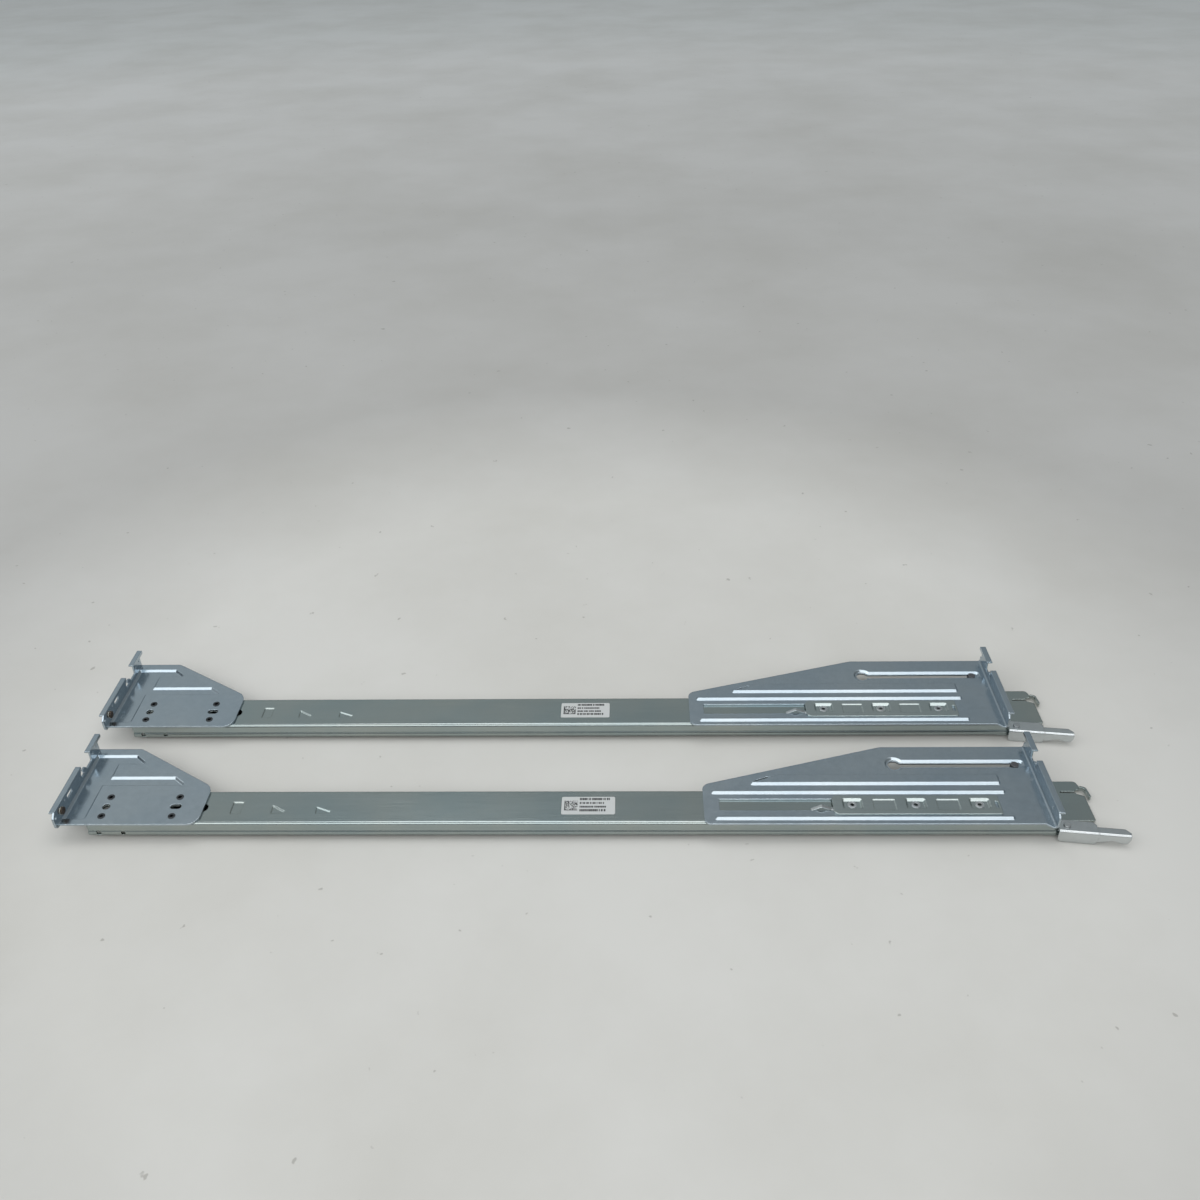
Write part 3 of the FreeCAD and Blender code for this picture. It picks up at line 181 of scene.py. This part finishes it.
def plated_steel(name, cool, warm, roughness, grain=(3.0, 160.0, 160.0)):
    """Zinc-plated sheet: two tints in clouds, fine rolling lines and a painted highlight
    brightening the edges.
    """
    metal = bpy.data.materials.new(name)
    metal.use_nodes = True
    nodes, links = metal.node_tree.nodes, metal.node_tree.links
    shader = nodes["Principled BSDF"]
    shader.inputs["Metallic"].default_value = 1.0
    place = nodes.new("ShaderNodeTexCoord")
    cloud = nodes.new("ShaderNodeTexNoise")
    set_inputs(cloud, {"Scale": 14.0, "Detail": 5.0, "Roughness": 0.55})
    links.new(place.outputs["Object"], cloud.inputs["Vector"])
    tint = ramp(nodes, [(0.36, cool), (0.66, warm)])
    links.new(cloud.outputs["Fac"], tint.inputs["Fac"])
    stretch = nodes.new("ShaderNodeMapping")
    stretch.inputs["Scale"].default_value = grain
    links.new(place.outputs["Object"], stretch.inputs["Vector"])
    lines = nodes.new("ShaderNodeTexNoise")
    set_inputs(lines, {"Scale": 9.0, "Detail": 4.0, "Roughness": 0.7})
    links.new(stretch.outputs["Vector"], lines.inputs["Vector"])
    streak = ramp(nodes, [(0.3, (0.93, 0.93, 0.93)), (0.7, (1.0, 1.0, 1.0))])
    links.new(lines.outputs["Fac"], streak.inputs["Fac"])
    broken_edge = nodes.new("ShaderNodeBevel")
    broken_edge.samples = 4
    broken_edge.inputs["Radius"].default_value = 0.0008
    face = nodes.new("ShaderNodeNewGeometry")
    flat = nodes.new("ShaderNodeVectorMath")
    flat.operation = "DOT_PRODUCT"
    links.new(broken_edge.outputs["Normal"], flat.inputs[0])
    links.new(face.outputs["Normal"], flat.inputs[1])
    # painted highlight: the base colour is made up to 1.3 times brighter along the edges, where the
    # bevel normal turns away from the face normal
    painted_edge_highlight = nodes.new("ShaderNodeMapRange")
    set_inputs(painted_edge_highlight, {"From Min": 0.80, "From Max": 0.99, "To Min": 1.30, "To Max": 1.0})
    links.new(flat.outputs["Value"], painted_edge_highlight.inputs["Value"])
    coat = multiply(nodes, links, tint.outputs["Color"], streak.outputs["Color"])
    links.new(multiply(nodes, links, coat, painted_edge_highlight.outputs["Result"]), shader.inputs["Base Color"])
    dull = nodes.new("ShaderNodeMapRange")
    set_inputs(dull, {"To Min": roughness - 0.07, "To Max": roughness + 0.09})
    links.new(lines.outputs["Fac"], dull.inputs["Value"])
    links.new(dull.outputs["Result"], shader.inputs["Roughness"])
    relief = nodes.new("ShaderNodeBump")
    set_inputs(relief, {"Strength": 0.012, "Distance": 0.0002})
    links.new(broken_edge.outputs["Normal"], relief.inputs["Normal"])
    links.new(lines.outputs["Fac"], relief.inputs["Height"])
    links.new(relief.outputs["Normal"], shader.inputs["Normal"])
    return metal


def dress(material, *names):
    """Give a finish to the nodes of these names on both rails."""
    for rail in RAILS:
        for name in names:
            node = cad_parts["%s_%s" % (rail, name)]
            node.data.materials.clear()
            node.data.materials.append(material)


strip = plated_steel("rolled_strip", (0.37, 0.435, 0.435), (0.42, 0.46, 0.44), 0.18)
dress(strip, "outer_channel", "middle_member", "inner_member", "inner_member_flanges",
      "inner_end_plate")
clamp = plated_steel("clamp_strip", (0.44, 0.50, 0.50), (0.48, 0.53, 0.52), 0.20)
dress(clamp, "clamp_bar")
cage = plated_steel("cage_strip", (0.60, 0.61, 0.62), (0.64, 0.64, 0.63), 0.32)
dress(cage, "outer_ball_cage", "inner_ball_cage")

# ------------------------------------------------------------------ label
# A printed paper sticker with rounded corners on the channel's web: a square code of plain
# modules and four lines of print too small to read.

label_size = Vector((0.0397, 0.0178))
label_place = Vector((0.3513, 0.0099))
label_thick = 0.00008
label_corner = 0.0012
ink_thick = 0.00002
code_side = 0.0098
code_cells = 16
code_margin = 0.0020
line_margin = 0.0016
line_drop = 0.0034
line_pitch = 0.0038
paper = bpy.data.materials.new("label_paper")
paper.use_nodes = True
set_inputs(paper.node_tree.nodes["Principled BSDF"], {
    "Base Color": (0.55, 0.565, 0.56, 1.0), "Roughness": 0.45})
ink = bpy.data.materials.new("label_ink")
ink.use_nodes = True
set_inputs(ink.node_tree.nodes["Principled BSDF"], {
    "Base Color": (0.02, 0.021, 0.022, 1.0), "Roughness": 0.5})


def flat_rounded(width, depth, corner, thick):
    """Thin slab with rounded corners, its low corner at the origin."""
    mesh = bmesh.new()
    ring = []
    centres = ((width - corner, depth - corner), (corner, depth - corner),
               (corner, corner), (width - corner, corner))
    for quarter, (x, y) in enumerate(centres):
        for step in range(6):
            angle = math.radians(90 * quarter + 18 * step)
            ring.append(mesh.verts.new(
                (x + corner * math.cos(angle), y + corner * math.sin(angle), 0)))
    face = mesh.faces.new(ring)
    raised = bmesh.ops.extrude_face_region(mesh, geom=[face])["geom"]
    bmesh.ops.translate(mesh, vec=(0, 0, thick),
                        verts=[v for v in raised if isinstance(v, bmesh.types.BMVert)])
    bmesh.ops.recalc_face_normals(mesh, faces=mesh.faces)
    return mesh


def print_patches(seed):
    """Low corner and size of each printed patch on the label."""
    draw = random.Random(seed)
    cell = code_side / code_cells
    low = Vector((code_margin, (label_size.y - code_side) / 2))
    patches = []
    for row in range(code_cells):
        start = None
        for column in range(code_cells + 1):
            border = column == 0 or row == 0
            dark = column < code_cells and (border or draw.random() < 0.5)
            if dark and start is None:
                start = column
            if not dark and start is not None:
                patches.append((low + Vector((start * cell, row * cell)),
                                Vector(((column - start) * cell, cell))))
                start = None
    line_start = low.x + code_side + line_margin
    for line, (height, reach) in enumerate((
            (0.0023, 0.0225), (0.0018, 0.0180), (0.0018, 0.0195), (0.0023, 0.0200))):
        y = label_size.y - line_drop - line * line_pitch
        x = line_start
        while x < line_start + reach:
            wide = draw.uniform(0.0006, 0.0013)
            patches.append((Vector((x, y)), Vector((wide, height))))
            x += wide + draw.choice((0.0002, 0.0002, 0.0003, 0.0008))
    return patches


for seed, rail in enumerate(RAILS, start=3):
    channel_low, channel_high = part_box(rail + "_outer_channel")
    corner = Vector((channel_low.x + label_place.x, channel_low.y + label_place.y, channel_high.z))
    slab = flat_rounded(label_size.x, label_size.y, label_corner, label_thick)
    sticker = bpy.data.objects.new(rail + "_label", bpy.data.meshes.new(rail + "_label"))
    slab.to_mesh(sticker.data)
    slab.free()
    sticker.data.materials.append(paper)
    marks = bmesh.new()
    for low, size in print_patches(seed):
        corners = [(0, 0), (size.x, 0), (size.x, size.y), (0, size.y)]
        marks.faces.new([marks.verts.new((low.x + x, low.y + y, 0)) for x, y in corners])
    print_mesh = bpy.data.meshes.new(rail + "_label_print")
    marks.to_mesh(print_mesh)
    marks.free()
    printed = bpy.data.objects.new(rail + "_label_print", print_mesh)
    printed.data.materials.append(ink)
    for piece, lift in ((sticker, 0.0), (printed, label_thick + ink_thick)):
        piece.location = corner + Vector((0, 0, lift))
        bpy.context.scene.collection.objects.link(piece)
        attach(piece, "rack_side")

# ------------------------------------------------------------------ brackets
# Thicker pressed plates with bent flanges, plated a cooler blue-grey, with no rolling lines.

even_grain = (24, 24, 24)
plate = plated_steel("pressed_plate", (0.42, 0.495, 0.555), (0.48, 0.54, 0.58), 0.19, even_grain)
dress(plate, "front_bracket", "rear_bracket")

# ------------------------------------------------------------------ catch and small levers
# Bright plated pressings, lighter partly by their own finish and partly as a painted highlight for
# their lit sides: the levers that the hand works and the leaf stop.

# partly painted highlight: these pressings get a lighter copy of the plating, standing in part for
# their brightly lit sides
bright_and_painted_lit_plate = plated_steel("bright_plate", (0.60, 0.64, 0.655), (0.66, 0.68, 0.68), 0.20, even_grain)
dress(bright_and_painted_lit_plate, "catch_lever", "disconnect_lever", "bracket_stop_leaf")

# ------------------------------------------------------------------ rivets, pins, springs and balls
# Small steel parts: rivets and pins satin, wire and latch springs warmer, balls polished, the front
# screw dark, and the rivets down in their bores near-black as painted shade.

satin = plated_steel("satin_steel", (0.46, 0.49, 0.51), (0.50, 0.52, 0.52), 0.34, even_grain)
dress(satin, "clamp_rivets", "end_plate_rivets", "disconnect_rivet",
      "catch_pivot_pin", "chassis_lock_pin")
spring = plated_steel("spring_steel", (0.55, 0.53, 0.47), (0.62, 0.60, 0.52), 0.26, (9, 9, 9))
dress(spring, "front_screw_spring", "catch_spring", "chassis_lock")
ball = plated_steel("ball_steel", (0.80, 0.81, 0.82), (0.84, 0.84, 0.84), 0.12, even_grain)
dress(ball, "outer_balls", "inner_balls")
# painted shade: the front bracket's rivets are made near-black to stand for the shade down in their
# bores
painted_bore_shade = plated_steel(
    "painted_shade_steel", (0.06, 0.065, 0.07), (0.09, 0.095, 0.10), 0.34, even_grain)
dress(painted_bore_shade, "front_bracket_rivets")
dark = plated_steel("dark_steel", (0.16, 0.16, 0.17), (0.22, 0.21, 0.21), 0.42, even_grain)
dress(dark, "slot_stud")
brown = plated_steel("brown_plate", (0.11, 0.08, 0.065), (0.15, 0.115, 0.09), 0.34, even_grain)
dress(brown, "front_captive_screw")

# ------------------------------------------------------------------ rubber bumper
# Moulded block under the web, with a fine matt grain.

rubber = bpy.data.materials.new("matt_rubber")
rubber.use_nodes = True
nodes, links = rubber.node_tree.nodes, rubber.node_tree.links
shader = nodes["Principled BSDF"]
grain = nodes.new("ShaderNodeTexNoise")
set_inputs(grain, {"Scale": 900.0, "Detail": 3.0})
dust = ramp(nodes, [(0.3, (0.025, 0.025, 0.025)), (0.8, (0.05, 0.05, 0.048))])
links.new(grain.outputs["Fac"], dust.inputs["Fac"])
links.new(dust.outputs["Color"], shader.inputs["Base Color"])
shader.inputs["Roughness"].default_value = 0.8
dress(rubber, "rear_bumper")
